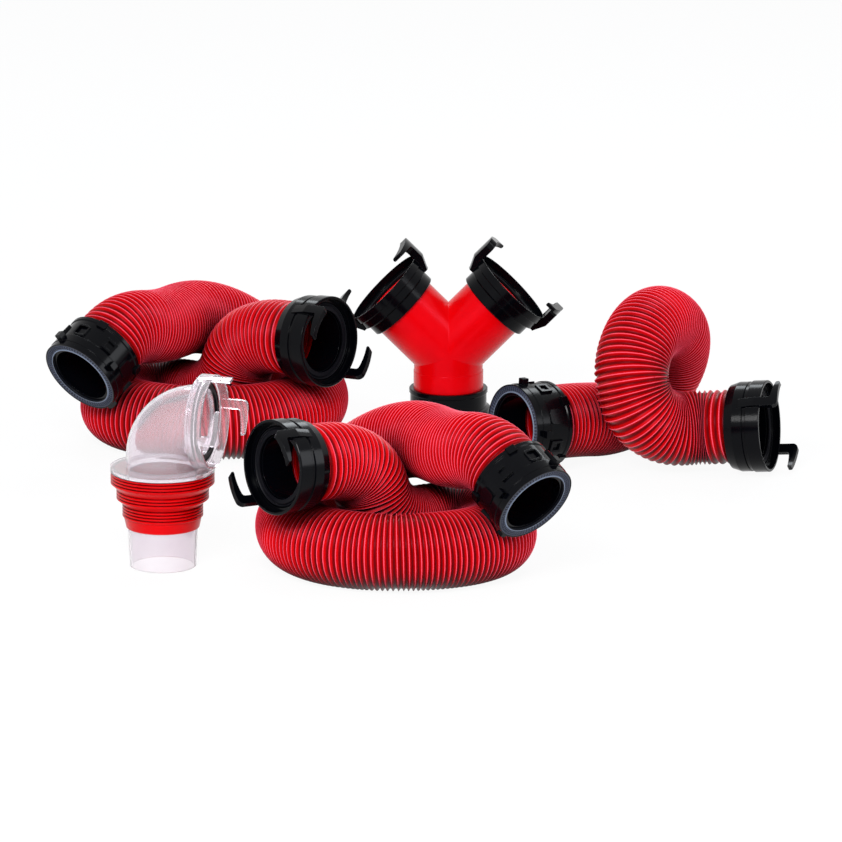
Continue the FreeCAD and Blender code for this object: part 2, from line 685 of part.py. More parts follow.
# the short hose
SHORT_HOOK_MOUTH = Vector(425, 387, (HOOK_OUTSIDE + S.ground_gap).value)
SHORT_HOOK_WAY = Vector(0.955, -0.27, 0.09).normalize()
SHORT_LUG_MOUTH = Vector(133, 390, (LUG_TIP + S.ground_gap).value)
SHORT_LUG_WAY = Vector(-0.81, -0.58, 0.06).normalize()
SHORT_MIDDLE = [
    (244, 486, LOW - 2), (279, 530, 46), (313, 538, 84), (322, 509, 134), (303, 467, 163), (279, 424, 157),
    (265, 394, 122), (274, 384, 78), (306, 398, 50)]

# how far behind each mouth the route's straight points lie
COIL_HOOK_STEPS = (58, 92)
COIL_LUG_STEPS = (88, 38)
SHORT_LUG_STEPS = (55, 92)
SHORT_HOOK_STEPS = (82, 50)


def mirror_point(point):
    """The same point on the other side of the coil's middle."""
    return Vector(-point[0], point[1], point[2])


def plain_point(point):
    """The point as it stands."""
    return Vector(point[0], point[1], point[2])


def long_hose(name, place, side_of, side):
    """A long hose with its couplers, gasket, seal and collars. The side is -1 where it is left-handed."""
    hook_mouth, hook_way = side_of(COIL_HOOK_MOUTH), side_of(COIL_HOOK_WAY)
    lug_mouth, lug_way = side_of(COIL_LUG_MOUTH), side_of(COIL_LUG_WAY)
    route = [hook_mouth - hook_way * HOOK_STACK.value]
    route += [hook_mouth - hook_way * step for step in COIL_HOOK_STEPS]
    route += [side_of(point) for point in COIL_MIDDLE]
    route += [lug_mouth - lug_way * step for step in COIL_LUG_STEPS]
    route.append(lug_mouth - lug_way * LUG_STACK.value)
    ribbed_hose(name + "_hose", route, COIL_RIBS, Placement(place, Rotation()))
    hose_ends(name, seat(hook_mouth + place, hook_way, -side * COIL_HOOK_ROLL),
              seat(lug_mouth + place, lug_way, -side * COIL_LUG_ROLL), side)


def hose_ends(name, hook_seat, lug_seat, side):
    """Couplers, gasket, seal and collars of a hose."""
    coupler(name + "_hook_coupler", hook_seat, HOOK_FRONT)
    lip_gasket(name + "_hook_gasket", hook_seat)
    hose_hook_collar(name + "_hook_collar", hook_seat, side < 0)
    coupler(name + "_lug_coupler", lug_seat, S.lug_recess)
    face_seal(name + "_lug_seal", lug_seat)
    lug_collar(name + "_lug_collar", lug_seat, S.lug_collar_length, HOSE_NECK, side)


def short_hose():
    """The short hose with its couplers, gasket, seal and collars."""
    route = [SHORT_LUG_MOUTH - SHORT_LUG_WAY * LUG_STACK.value]
    route += [SHORT_LUG_MOUTH - SHORT_LUG_WAY * step for step in SHORT_LUG_STEPS]
    route += [plain_point(point) for point in SHORT_MIDDLE]
    route += [SHORT_HOOK_MOUTH - SHORT_HOOK_WAY * step for step in SHORT_HOOK_STEPS]
    route.append(SHORT_HOOK_MOUTH - SHORT_HOOK_WAY * HOOK_STACK.value)
    ribbed_hose("short_hose", route, SHORT_RIBS, Placement(SHORT_PLACE, Rotation()))
    hose_ends("short", seat(SHORT_HOOK_MOUTH + SHORT_PLACE, SHORT_HOOK_WAY, SHORT_HOOK_ROLL),
              seat(SHORT_LUG_MOUTH + SHORT_PLACE, SHORT_LUG_WAY), 1)


def cylinder(name, radius, length, place):
    """A cylinder bound to the sheet."""
    made = DOC.addObject("Part::Cylinder", name)
    made.setExpression("Radius", words(radius))
    made.setExpression("Height", words(length))
    made.Placement = place
    return made


def joined(name, kind, pieces):
    """A boolean of pieces under a name."""
    made = DOC.addObject(kind, name)
    if kind == "Part::Cut":
        made.Base, made.Tool = pieces
    else:
        made.Shapes = pieces
    made.Label = name
    return made


def wye():
    """Wye: two legs at 45 degrees over an outlet, each end with the flange that its collar turns on."""
    centre = Vector(0, 0, S.wye_height.value)
    inside = TUBE - S.wye_wall
    leg_end = S.wye_leg - HOOK_FRONT
    down = Rotation(Vector(0, 1, 0), 180)
    outer = []
    inner = []
    for label, angle in (("left", -WYE_LEAN), ("right", WYE_LEAN)):
        lean = Rotation(Vector(0, 1, 0), angle)
        outer.append(cylinder(label + "_leg", TUBE, leg_end, Placement(centre, lean)))
        flange_start = centre + lean.multVec(UP) * (leg_end - S.flange_thick).value
        outer.append(cylinder(label + "_flange", FLANGE, S.flange_thick, Placement(flange_start, lean)))
        inner.append(cylinder(label + "_bore", inside, leg_end + S.cut_over, Placement(centre, lean)))
    foot = Vector(0, 0, S.lug_recess.value)
    outer.append(cylinder("outlet_tube", TUBE, S.wye_height - S.lug_recess, Placement(foot, Rotation())))
    outer.append(cylinder("outlet_ledge", TUBE + S.wye_ledge_step, S.wye_ledge - S.lug_recess,
                          Placement(foot, Rotation())))
    outer.append(cylinder("outlet_flange", FLANGE, S.flange_thick, Placement(foot, Rotation())))
    inner.append(cylinder("outlet_bore", inside, S.wye_height, Placement(centre, down)))
    for group, radius in ((outer, TUBE), (inner, inside)):
        ball = DOC.addObject("Part::Sphere", "crossing")
        ball.setExpression("Radius", words(radius))
        ball.Placement = Placement(centre, Rotation())
        group.append(ball)
    solid = joined("wye_outside", "Part::MultiFuse", outer)
    hollow = joined("wye_inside", "Part::MultiFuse", inner)
    joined("wye_body", "Part::Cut", [solid, hollow])
    for label, angle in (("left", -WYE_LEAN), ("right", WYE_LEAN)):
        lean = Rotation(Vector(0, 1, 0), angle)
        way = lean.multVec(UP)
        place = Placement(centre + way * S.wye_leg.value, lean)
        lip_gasket("wye_" + label + "_gasket", place)
        wye_hook_collar("wye_" + label + "_collar", place)
    lug_place = seat(NOWHERE, -UP, WYE_LUG_ROLL, Vector(1, 0, 0))
    face_seal("wye_lug_seal", lug_place)
    lug_collar("wye_lug_collar", lug_place, S.wye_outlet_collar, TUBE + S.wye_ledge_step + S.running_gap)


def thread_tier(radius, top, crests, depth, pitch):
    """Rounded thread crests from the top of a tier down, as points of an outer profile."""
    corners = []
    for crest in range(crests):
        high = top - pitch * crest
        corners += [(radius - depth, high), (radius, high - pitch * 0.3), (radius, high - pitch * 0.7)]
    corners.append((radius - depth, top - pitch * crests))
    return corners


def adapter(place):
    """Drain adapter: three pipe threads, each smaller than the one above, on a sleeve round the spigot."""
    body = body_of("elbow_adapter", place)
    depth, pitch = S.thread_depth, S.thread_pitch
    top = S.adapter_top - S.side_play
    second = top - pitch * FOUR_INCH_CRESTS - S.shoulder_height
    third = second - pitch * THREE_AND_HALF_CRESTS - S.shoulder_height * 0.8
    bore = S.spigot_radius + S.running_gap
    corners = thread_tier(FOUR_INCH, top, FOUR_INCH_CRESTS, depth, pitch)
    corners += thread_tier(THREE_AND_HALF, second, THREE_AND_HALF_CRESTS, depth, pitch)
    corners += thread_tier(THREE_INCH, third, THREE_INCH_CRESTS, depth, pitch)
    wall = S.adapter_wall + depth
    corners += [(bore + S.adapter_wall * 0.6, S.adapter_foot), (bore, S.adapter_foot),
                (bore, S.adapter_foot + S.bearing_length),
                (THREE_INCH - wall + S.edge_break, third + S.edge_break),
                (THREE_AND_HALF - wall, second), (FOUR_INCH - wall, top - pitch * 3.0),
                (FOUR_INCH - wall, top)]
    turned(body, "adapter_turned", corners)


def elbow():
    """Clear elbow with its disc, spigot, adapter, gasket and hook collar."""
    upright = Placement(ELBOW_PLACE, Rotation(UP, ELBOW_TURN))
    east = Vector(1, 0, 0)
    disc_bottom = S.adapter_top.value
    spring = ELBOW_HEIGHT - ELBOW_BEND
    inside = TUBE - S.elbow_wall
    tube_end = ELBOW_REACH - HOOK_FRONT
    over = Rotation(Vector(0, 1, 0), 90)
    across = Rotation(UP, -east, UP.cross(-east), "ZXY")
    corner = Vector(ELBOW_BEND.value, 0, spring.value)
    exit_point = Vector(ELBOW_BEND.value, 0, ELBOW_HEIGHT.value)
    flange_point = Vector((tube_end - S.flange_thick).value, 0, ELBOW_HEIGHT.value)
    groups = []
    for skin, radius, extra in (("outside", TUBE, 0.0), ("inside", inside, S.cut_over.value)):
        rise = cylinder("elbow_rise_" + skin, radius, spring - S.adapter_top + extra,
                        Placement(Vector(0, 0, disc_bottom - extra), Rotation()))
        bend = DOC.addObject("Part::Torus", "elbow_bend_" + skin)
        bend.setExpression("Radius1", words(ELBOW_BEND))
        bend.setExpression("Radius2", words(radius))
        bend.Angle3 = 90
        bend.Placement = Placement(corner, across)
        run = cylinder("elbow_run_" + skin, radius, tube_end - ELBOW_BEND + extra, Placement(exit_point, over))
        pieces = [rise, bend, run]
        if skin == "outside":
            pieces.append(cylinder("elbow_disc", FOUR_INCH + S.disc_lip, S.disc_thick,
                                   Placement(Vector(0, 0, disc_bottom), Rotation())))
            pieces.append(cylinder("elbow_flange", FLANGE, S.flange_thick, Placement(flange_point, over)))
        groups.append(joined("elbow_" + skin, "Part::MultiFuse", pieces))
    shell = joined("elbow_body", "Part::Cut", groups)
    shell.Placement = upright
    mouth = Placement(Vector(ELBOW_REACH.value, 0, ELBOW_HEIGHT.value), Rotation())
    mouth_seat = upright * mouth * seat(NOWHERE, east, ELBOW_HOOK_ROLL)
    lip_gasket("elbow_gasket", mouth_seat)
    elbow_hook_collar("elbow_hook_collar", mouth_seat)
    spigot = body_of("elbow_tube", upright)
    wall = S.spigot_wall
    turned(spigot, "spigot_turned", [
        (S.spigot_radius - wall, S.adapter_top), (S.spigot_radius - wall, S.adapter_foot),
        (S.spigot_foot - wall, ZERO), (S.spigot_foot, ZERO), (S.spigot_radius, S.adapter_foot),
        (S.spigot_radius, S.adapter_top)])
    adapter(upright)


def check_and_write(names):
    """Test every object, then write each piece's solid to its own file."""
    DOC.recompute()
    for made in DOC.Objects:
        if "Invalid" in made.State or "Error" in made.State:
            raise ValueError(made.Name + " failed: " + str(made.State))
    os.makedirs("parts", exist_ok=True)
    for name in names:
        piece = DOC.getObject(name)
        shape = piece.Shape
        if shape.isNull() or not shape.isValid() or not shape.Solids:
            raise ValueError(name + " has no valid shape")
        shape.exportStep("parts/" + name + ".step")
        box = shape.BoundBox
        print(name, "solids", len(shape.Solids), "volume", round(shape.Volume), "from",
              [round(v, 1) for v in (box.XMin, box.YMin, box.ZMin)], "to",
              [round(v, 1) for v in (box.XMax, box.YMax, box.ZMax)])


HOSE_PARTS = ["hose", "hook_coupler", "hook_gasket", "hook_collar", "lug_coupler", "lug_seal", "lug_collar"]
NODES = [side + "_" + part for side in ("front", "left", "short") for part in HOSE_PARTS]
NODES += ["wye_body", "wye_left_gasket", "wye_left_collar", "wye_right_gasket", "wye_right_collar",
          "wye_lug_seal", "wye_lug_collar"]
NODES += ["elbow_body", "elbow_gasket", "elbow_hook_collar", "elbow_tube", "elbow_adapter"]

long_hose("front", FRONT_PLACE, plain_point, 1)
long_hose("left", LEFT_PLACE, mirror_point, -1)
short_hose()
wye()
elbow()
check_and_write(NODES)
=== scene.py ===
"""Looks of the sewer hose kit: three ribbed hoses, their fittings, a wye and a clear elbow.

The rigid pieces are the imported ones, with moulded plastic and rubber materials. The hoses are made
here, each as a wire-wound skin that follows its route on one smooth line, and so are the floors of
three thumb pockets. Lengths are in metres.
"""
import bmesh
import bpy
import json
import math
import random
import numpy as np
from mathutils import Matrix, Vector


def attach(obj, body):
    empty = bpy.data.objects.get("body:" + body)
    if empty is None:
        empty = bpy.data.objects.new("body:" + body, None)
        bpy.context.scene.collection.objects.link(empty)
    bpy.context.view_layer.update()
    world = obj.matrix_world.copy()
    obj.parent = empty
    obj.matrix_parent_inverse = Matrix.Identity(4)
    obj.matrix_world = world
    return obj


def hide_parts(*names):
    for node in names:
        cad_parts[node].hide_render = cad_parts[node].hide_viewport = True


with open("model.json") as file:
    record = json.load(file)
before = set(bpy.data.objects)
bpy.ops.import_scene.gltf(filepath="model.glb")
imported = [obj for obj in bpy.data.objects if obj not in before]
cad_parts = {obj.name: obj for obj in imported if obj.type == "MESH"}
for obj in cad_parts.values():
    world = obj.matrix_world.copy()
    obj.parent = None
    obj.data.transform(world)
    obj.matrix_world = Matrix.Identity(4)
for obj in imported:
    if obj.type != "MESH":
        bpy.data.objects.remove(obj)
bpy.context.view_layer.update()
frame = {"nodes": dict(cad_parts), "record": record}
MM = 0.001
UP = Vector((0, 0, 1))
WHITE = (1, 1, 1, 1)

# places of the three hoses on the ground
FRONT_PLACE = Vector((-0.061, -0.637, 0))
LEFT_PLACE = Vector((-0.271, -0.061, 0))
SHORT_PLACE = Vector((-0.061, -0.637, 0))

# the hose: its radii, the length of its plain end and the distance between its turns
CREST_RADIUS = 42.5 * MM
CUFF_RADIUS = 39.6 * MM
VALLEY_RADIUS = 39.2 * MM
BORE_RADIUS = 38.2 * MM
CUFF = 27 * MM
PITCH = 5.0 * MM

# the height of the hose's middle line where the hose lies on the ground, and how far behind each kind of
# mouth the hose ends
LOW = 0.042
HOOK_STACK = 0.0167
LUG_STACK = 0.007

# the long hose, from the middle of its coil
COIL_HOOK_MOUTH = Vector((-0.134, -0.116, 0.138))
COIL_HOOK_WAY = Vector((-0.785, -0.616, 0.064)).normalized()
COIL_LUG_MOUTH = Vector((0.151, -0.135, 0.102))
COIL_LUG_WAY = Vector((0.570, -0.645, -0.510)).normalized()
COIL_MIDDLE = [
    (-0.033, -0.036, 0.114), (-0.021, -0.026, 0.069), (0.010, -0.002, LOW), (0.042, 0.021, LOW),
    (0.072, 0.025, LOW), (0.098, 0.012, LOW), (0.112, -0.013, LOW), (0.112, -0.042, LOW),
    (0.100, -0.070, LOW), (0.077, -0.093, LOW), (0.045, -0.108, LOW), (0.007, -0.115, LOW),
    (-0.034, -0.110, LOW), (-0.074, -0.090, LOW), (-0.102, -0.055, LOW), (-0.113, -0.014, LOW),
    (-0.112, 0.030, LOW), (-0.096, 0.072, 0.052), (-0.058, 0.092, 0.080), (-0.013, 0.069, 0.117),
    (0.027, 0.031, 0.135), (0.060, -0.026, 0.134)]
COIL_HOOK_STEPS = (0.058, 0.092)
COIL_LUG_STEPS = (0.088, 0.038)

# the short hose
SHORT_HOOK_MOUTH = Vector((0.425, 0.387, 0.057))
SHORT_HOOK_WAY = Vector((0.955, -0.27, 0.09)).normalized()
SHORT_LUG_MOUTH = Vector((0.133, 0.390, 0.056))
SHORT_LUG_WAY = Vector((-0.81, -0.58, 0.06)).normalized()
SHORT_MIDDLE = [
    (0.244, 0.486, 0.040), (0.279, 0.530, 0.046), (0.313, 0.538, 0.084), (0.322, 0.509, 0.134),
    (0.303, 0.467, 0.163), (0.279, 0.424, 0.157), (0.265, 0.394, 0.122), (0.274, 0.384, 0.078),
    (0.306, 0.398, 0.050)]
SHORT_LUG_STEPS = (0.055, 0.092)
SHORT_HOOK_STEPS = (0.082, 0.050)

# mouth and way of each lug end; the left hose is the front one in a mirror
MIRROR = Vector((-1, 1, 1))
LUG_ENDS = {"front": (COIL_LUG_MOUTH + FRONT_PLACE, COIL_LUG_WAY),
            "left": (COIL_LUG_MOUTH * MIRROR + LEFT_PLACE, COIL_LUG_WAY * MIRROR),
            "short": (SHORT_LUG_MOUTH + SHORT_PLACE, SHORT_LUG_WAY),
            "wye": (Vector((0, 0, 0)), -UP)}

# one thumb pocket of each hose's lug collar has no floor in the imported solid: the floor's middle lies
# this far behind the mouth and this far out, and at this many degrees round the collar
THUMB_BACK = 28.5 * MM
THUMB_FLOOR = 44.1 * MM
THUMB_THICK = 2.0 * MM
THUMB_RADIUS = 6.45 * MM
THUMB_SIDES = 32
THUMB_TURNS = {"front": 86.0, "left": 94.0, "short": 68.0}

CAMERA_ANGLE = math.radians(15)
CAMERA_DISTANCE = 10.5
AIM_POINT = FRONT_PLACE
AIM_RIGHT = 0.0275
AIM_UP = 0.15576
SENSOR = 36.0
LENS = 408.1
NEAR_CLIP = 1.0
FAR_CLIP = 100.0


def make_camera():
    """Camera at the photograph's angle."""
    forward = Vector((0, math.cos(CAMERA_ANGLE), -math.sin(CAMERA_ANGLE)))
    upward = Vector((0, math.sin(CAMERA_ANGLE), math.cos(CAMERA_ANGLE)))
    right = Vector((1, 0, 0))
    data = bpy.data.cameras.new("camera")
    data.sensor_width = SENSOR
    data.lens = LENS
    data.clip_start = NEAR_CLIP
    data.clip_end = FAR_CLIP
    camera = bpy.data.objects.new("camera", data)
    bpy.context.scene.collection.objects.link(camera)
    camera.location = AIM_POINT - forward * CAMERA_DISTANCE
    aim = forward * CAMERA_DISTANCE + right * AIM_RIGHT + upward * AIM_UP
    camera.rotation_mode = "QUATERNION"
    camera.rotation_quaternion = aim.to_track_quat("-Z", "Y")
    bpy.context.scene.camera = camera


def link(name, mesh, material, smooth=True):
    """A mesh object in the scene with one material, smooth or flat shaded."""
    made = bpy.data.objects.new(name, mesh)
    mesh.materials.append(material)
    mesh.polygons.foreach_set("use_smooth", [smooth] * len(mesh.polygons))
    bpy.context.scene.collection.objects.link(made)
    return made


def seat(point, way):
    """The place at a point whose own upright runs along a way."""
    return Matrix.Translation(point) @ way.to_track_quat("Z", "Y").to_matrix().to_4x4()


class Graph:
    """A material's node tree with short ways to add and join nodes."""

    # sockets of the colour mix by number, because several of them share a name
    FACTOR, FIRST, SECOND, MIXED = 0, 6, 7, 2
    NOISE_ROUGHNESS = 0.55
    SHADE_SAMPLES = 4
    # the colour that painted shade darkens towards
    SHADE_COLOUR = (0.004, 0.0, 0.0, 1)

    def __init__(self, name):
        self.material = bpy.data.materials.new(name)
        self.material.use_nodes = True
        self.tree = self.material.node_tree
        self.shader = self.tree.nodes["Principled BSDF"]

    def add(self, kind, inputs=None, **settings):
        """A node with its settings and its inputs' values or links."""
        node = self.tree.nodes.new(kind)
        for key, value in settings.items():
            setattr(node, key, value)
        for key, value in (inputs or {}).items():
            self.put(node.inputs[key], value)
        return node

    def put(self, socket, value):
        """A value or another node's output for an input."""
        if isinstance(value, bpy.types.NodeSocket):
            self.tree.links.new(value, socket)
        else:
            socket.default_value = value

    def shade(self, **inputs):
        """Values or links for the shader's own inputs, an underscore for each space."""
        for key, value in inputs.items():
            self.put(self.shader.inputs[key.replace("_", " ")], value)

    def blend(self, factor, first, second):
        """A colour between two."""
        node = self.add("ShaderNodeMix", data_type="RGBA")
        self.put(node.inputs[self.FACTOR], factor)
        self.put(node.inputs[self.FIRST], first)
        self.put(node.inputs[self.SECOND], second)
        return node.outputs[self.MIXED]

    def maths(self, operation, *values):
        """The result of a sum on one or two values."""
        return self.add("ShaderNodeMath", dict(enumerate(values)), operation=operation).outputs[0]

    def noise(self, scale, detail=3.0):
        """Noise over the part's own space."""
        space = self.add("ShaderNodeTexCoord").outputs["Object"]
        return self.add("ShaderNodeTexNoise", {"Vector": space, "Scale": scale, "Detail": detail,
                                               "Roughness": self.NOISE_ROUGHNESS}).outputs["Fac"]

    def ramp(self, factor, low, high, start=0.0, end=1.0):
        """A value that runs between two as the factor does."""
        node = self.add("ShaderNodeMapRange", {"Value": factor, "From Min": low, "From Max": high,
                                               "To Min": start, "To Max": end})
        return node.outputs["Result"]

    def shaded(self, colour, reach, low, high):
        """A colour with painted shade, darker where other surfaces stand within reach."""
        near = self.add("ShaderNodeAmbientOcclusion", {"Distance": reach}, samples=self.SHADE_SAMPLES)
        return self.blend(self.ramp(near.outputs["AO"], low, high), self.SHADE_COLOUR, colour)

    def bump(self, height, strength, distance, normal=None):
        """A bump from a height."""
        inputs = {"Height": height, "Strength": strength, "Distance": distance}
        if normal is not None:
            inputs["Normal"] = normal
        return self.add("ShaderNodeBump", inputs).outputs["Normal"]


# stretches of a noise's values over which a colour and a roughness change
COLOUR_BAND = (0.3, 0.7)
ROUGH_BAND = (0.2, 0.8)

# the hose's skin: random tone, painted shade in the folds between turns, a painted highlight on the
# crests, and painted shade where other surfaces stand near
HOSE_DEEP = (0.44, 0.0, 0.0, 1)
HOSE_BRIGHT = (0.58, 0.0, 0.001, 1)
# painted shade colour for the folds between the wire's turns
HOSE_FOLD_SHADE = (0.05, 0.0, 0.0, 1)
# painted highlight colour along the crests of the wire
HOSE_CREST_HIGHLIGHT = (1.0, 0.10, 0.17, 1)
HOSE_GLINT = (1.0, 0.20, 0.30, 1)
HOSE_GLOSS = 0.20
HOSE_ROUGHNESS = (0.32, 0.44)
HOSE_PATCHES = 28.0
HOSE_GRAIN = 900.0
# how high on the rib the painted fold shade reaches, and the band of rib height that gets the painted
# crest highlight
FOLD_SHADE_TOP = 0.45
CREST_HIGHLIGHT_BAND = (0.82, 0.98)
# reach and band of the painted shade where other surfaces stand near the hose
HOSE_SHADE_REACH = 45 * MM
HOSE_SHADE_OPEN_BAND = (0.12, 0.62)


def hose_material():
    """Red hose with a soft vinyl gloss: a painted highlight along each crest of the wire, painted shade
    in the folds, and painted shade where other surfaces stand near.
    """
    g = Graph("hose_skin")
    rib = g.add("ShaderNodeAttribute", attribute_name="rib").outputs["Fac"]
    patchy = g.noise(HOSE_PATCHES)
    body = g.blend(g.ramp(patchy, *COLOUR_BAND), HOSE_DEEP, HOSE_BRIGHT)
    # painted shade in the folds between turns
    fold_shaded = g.blend(g.ramp(rib, 0.0, FOLD_SHADE_TOP), HOSE_FOLD_SHADE, body)
    # painted highlight along the crests
    crest = g.blend(g.ramp(rib, *CREST_HIGHLIGHT_BAND), fold_shaded, HOSE_CREST_HIGHLIGHT)
    grain = g.noise(HOSE_GRAIN, 2.0)
    # the colour gets painted shade where other surfaces stand near
    g.shade(Base_Color=g.shaded(crest, HOSE_SHADE_REACH, *HOSE_SHADE_OPEN_BAND),
            Roughness=g.ramp(patchy, *ROUGH_BAND, *HOSE_ROUGHNESS),
            Normal=g.bump(grain, 0.08, 0.4 * MM),
            Specular_IOR_Level=HOSE_GLOSS, Specular_Tint=HOSE_GLINT)
    return g.material


# moulded plastic: scales of its flow marks and grain, and what the flow does to colour and roughness
FLOW_SCALE = 18.0
GRAIN_SCALE = 700.0
GRAIN_DEPTH = 0.3 * MM
FLOW_DARK = 0.86
FLOW_SMOOTH = 0.85
FLOW_ROUGH = 1.2
BEVEL_SAMPLES = 6
# the band of the painted shade near other surfaces
VALLEY_SHADE_BAND = (0.45, 0.85)


def moulded(name, colour, roughness, gloss, grain=0.05, edge=0.6 * MM, tint=(1, 1, 1), valley_shade_reach=0.0):
    """Moulded gloss plastic: softened edges, faint flow marks and fine grain, with painted shade near
    other surfaces when a reach for it is given.
    """
    g = Graph(name)
    flow = g.noise(FLOW_SCALE, 4.0)
    fine = g.noise(GRAIN_SCALE, 2.0)
    dark = tuple(c * FLOW_DARK for c in colour)
    shade = g.blend(g.ramp(flow, *COLOUR_BAND), (*dark, 1), (*colour, 1))
    # painted shade where other surfaces stand within the given reach
    if valley_shade_reach:
        shade = g.shaded(shade, valley_shade_reach, *VALLEY_SHADE_BAND)
    soft = g.add("ShaderNodeBevel", {"Radius": edge}, samples=BEVEL_SAMPLES).outputs["Normal"]
    g.shade(Base_Color=shade,
            Roughness=g.ramp(flow, *ROUGH_BAND, roughness * FLOW_SMOOTH, roughness * FLOW_ROUGH),
            Normal=g.bump(fine, grain, GRAIN_DEPTH, soft),
            Specular_IOR_Level=gloss, Specular_Tint=(*tint, 1))
    return g.material


# clear plastic
CLEAR_DEEP = (0.93, 0.86, 0.91, 1)
CLEAR_PALE = (0.98, 0.94, 0.98, 1)
CLEAR_ROUGHNESS = (0.03, 0.07)
CLEAR_FLOW = 22.0
CLEARNESS = 0.84
CLEAR_BENDING = 1.46


def clear_material():
    """Clear moulded plastic with a faint lavender tint and haze."""
    g = Graph("clear_moulding")
    flow = g.noise(CLEAR_FLOW)
    g.shade(Base_Color=g.blend(g.ramp(flow, *COLOUR_BAND), CLEAR_DEEP, CLEAR_PALE),
            Roughness=g.ramp(flow, *ROUGH_BAND, *CLEAR_ROUGHNESS),
            Normal=g.bump(flow, 0.04, 1.0 * MM))
    g.shader.inputs["Transmission Weight"].default_value = CLEARNESS
    g.shader.inputs["IOR"].default_value = CLEAR_BENDING
    return g.material


RED_HOSE = hose_material()
BLACK = moulded("black_fitting", (0.0008, 0.0010, 0.002), roughness=0.15, gloss=0.09)
RUBBER = moulded("black_rubber", (0.003, 0.003, 0.005), roughness=0.45, gloss=0.08, grain=0.15)
WYE_RED = moulded("wye_moulding", (0.78, 0.0, 0.002), roughness=0.24, gloss=0.3, edge=1.2 * MM,
                  tint=(1.0, 0.15, 0.28))
# the adapter's red gets painted shade in its valleys, within 2.2 mm of other surfaces
ADAPTER_RED = moulded("adapter_moulding", (0.60, 0.0, 0.001), roughness=0.28, gloss=0.3,
                      tint=(1.0, 0.25, 0.32), valley_shade_reach=2.2 * MM)
CLEAR = clear_material()

# the face seals: number of radial ribs, and the radii of their inner line and outer edge
SEAL_RIBS = 72.0
SEAL_LINE = 39.8 * MM
SEAL_RIM = 45.0 * MM
SEAL_FADE = 0.4 * MM
SEAL_LINE_START = 1.3 * MM
SEAL_LINE_FULL = 1.0 * MM
SEAL_PLAIN = (0.016, 0.022, 0.045, 1)
# painted shade for the grooves of the ribs, and a painted highlight for their ridges
SEAL_GROOVE_SHADE = (0.008, 0.011, 0.026, 1)
SEAL_RIDGE_HIGHLIGHT = (0.060, 0.075, 0.12, 1)
SEAL_PALE = (0.16, 0.20, 0.28, 1)
SEAL_BORE = (0.003, 0.004, 0.008, 1)


def seal_material(node, mouth, way):
    """Navy face seal: fine radial ribs, with painted shade in their grooves and a painted highlight on
    their ridges, between a pale inner line and a plain outer edge.
    """
    g = Graph(node.name + "_rubber")
    turned = seat(mouth, way).inverted() @ node.matrix_world
    space = g.add("ShaderNodeTexCoord").outputs["Object"]
    local = g.add("ShaderNodeMapping", {"Vector": space, "Location": turned.translation,
                                        "Rotation": turned.to_euler()}).outputs["Vector"]
    split = g.add("ShaderNodeSeparateXYZ", {"Vector": local}).outputs
    flat = g.add("ShaderNodeCombineXYZ", {"X": split["X"], "Y": split["Y"]}).outputs["Vector"]
    radius = g.add("ShaderNodeVectorMath", {0: flat}, operation="LENGTH").outputs["Value"]
    angle = g.maths("ARCTAN2", split["Y"], split["X"])
    wave = g.maths("SINE", g.maths("MULTIPLY", angle, SEAL_RIBS))
    past_line = g.ramp(radius, SEAL_LINE, SEAL_LINE + SEAL_FADE)
    inside_edge = g.ramp(radius, SEAL_RIM - SEAL_FADE, SEAL_RIM, 1.0, 0.0)
    band = g.maths("MULTIPLY", past_line, inside_edge)
    height = g.maths("MULTIPLY", wave, band)
    # painted shade across the ribbed band
    shade = g.blend(band, SEAL_PLAIN, SEAL_GROOVE_SHADE)
    # painted highlight on the ridges of the ribs
    ribbed = g.blend(g.ramp(height, 0.1, 0.9), shade, SEAL_RIDGE_HIGHLIGHT)
    line = g.blend(past_line, SEAL_PALE, ribbed)
    inside_line = g.ramp(radius, SEAL_LINE - SEAL_LINE_START, SEAL_LINE - SEAL_LINE_FULL)
    bored = g.blend(inside_line, SEAL_BORE, line)
    g.shade(Base_Color=bored, Roughness=0.45, Normal=g.bump(height, 0.6, 0.5 * MM),
            Specular_IOR_Level=0.3)
    return g.material


def placed(points, place, side=1):
    """Points moved to their place, mirrored across the upright plane where side is -1."""
    return [Vector((p[0] * side, p[1], p[2])) + place for p in points]


def coil_route():
    """The long hose's route, from the back of its hook coupler's flange to its lug coupler's."""
    steps = [HOOK_STACK, *COIL_HOOK_STEPS]
    route = [COIL_HOOK_MOUTH - COIL_HOOK_WAY * step for step in steps]
    route += [Vector(point) for point in COIL_MIDDLE]
    route += [COIL_LUG_MOUTH - COIL_LUG_WAY * step for step in (*COIL_LUG_STEPS, LUG_STACK)]
    return route


def short_route():
    """The short hose's route, from its lug end to its hook end."""
    route = [SHORT_LUG_MOUTH - SHORT_LUG_WAY * step for step in (LUG_STACK, *SHORT_LUG_STEPS)]
    route += [Vector(point) for point in SHORT_MIDDLE]
    route += [SHORT_HOOK_MOUTH - SHORT_HOOK_WAY * step for step in (*SHORT_HOOK_STEPS, HOOK_STACK)]
    return route


# points between two poles of a route, and the order of its smooth line
LINE_STEPS = 32
LINE_ORDER = 3


def smooth_line(points):
    """Points close together on the smooth line that has the route's points as its poles."""
    data = bpy.data.curves.new("route", "CURVE")
    data.dimensions = "3D"
    data.resolution_u = LINE_STEPS
    spline = data.splines.new("NURBS")
    spline.points.add(len(points) - 1)
    for pole, point in zip(spline.points, points):
        pole.co = (*point, 1.0)
    spline.order_u = LINE_ORDER
    spline.use_endpoint_u = True
    holder = bpy.data.objects.new("route", data)
    mesh = bpy.data.meshes.new_from_object(holder)
    line = np.array([tuple(v.co) for v in mesh.vertices])
    bpy.data.objects.remove(holder)
    bpy.data.curves.remove(data)
    bpy.data.meshes.remove(mesh)
    return line


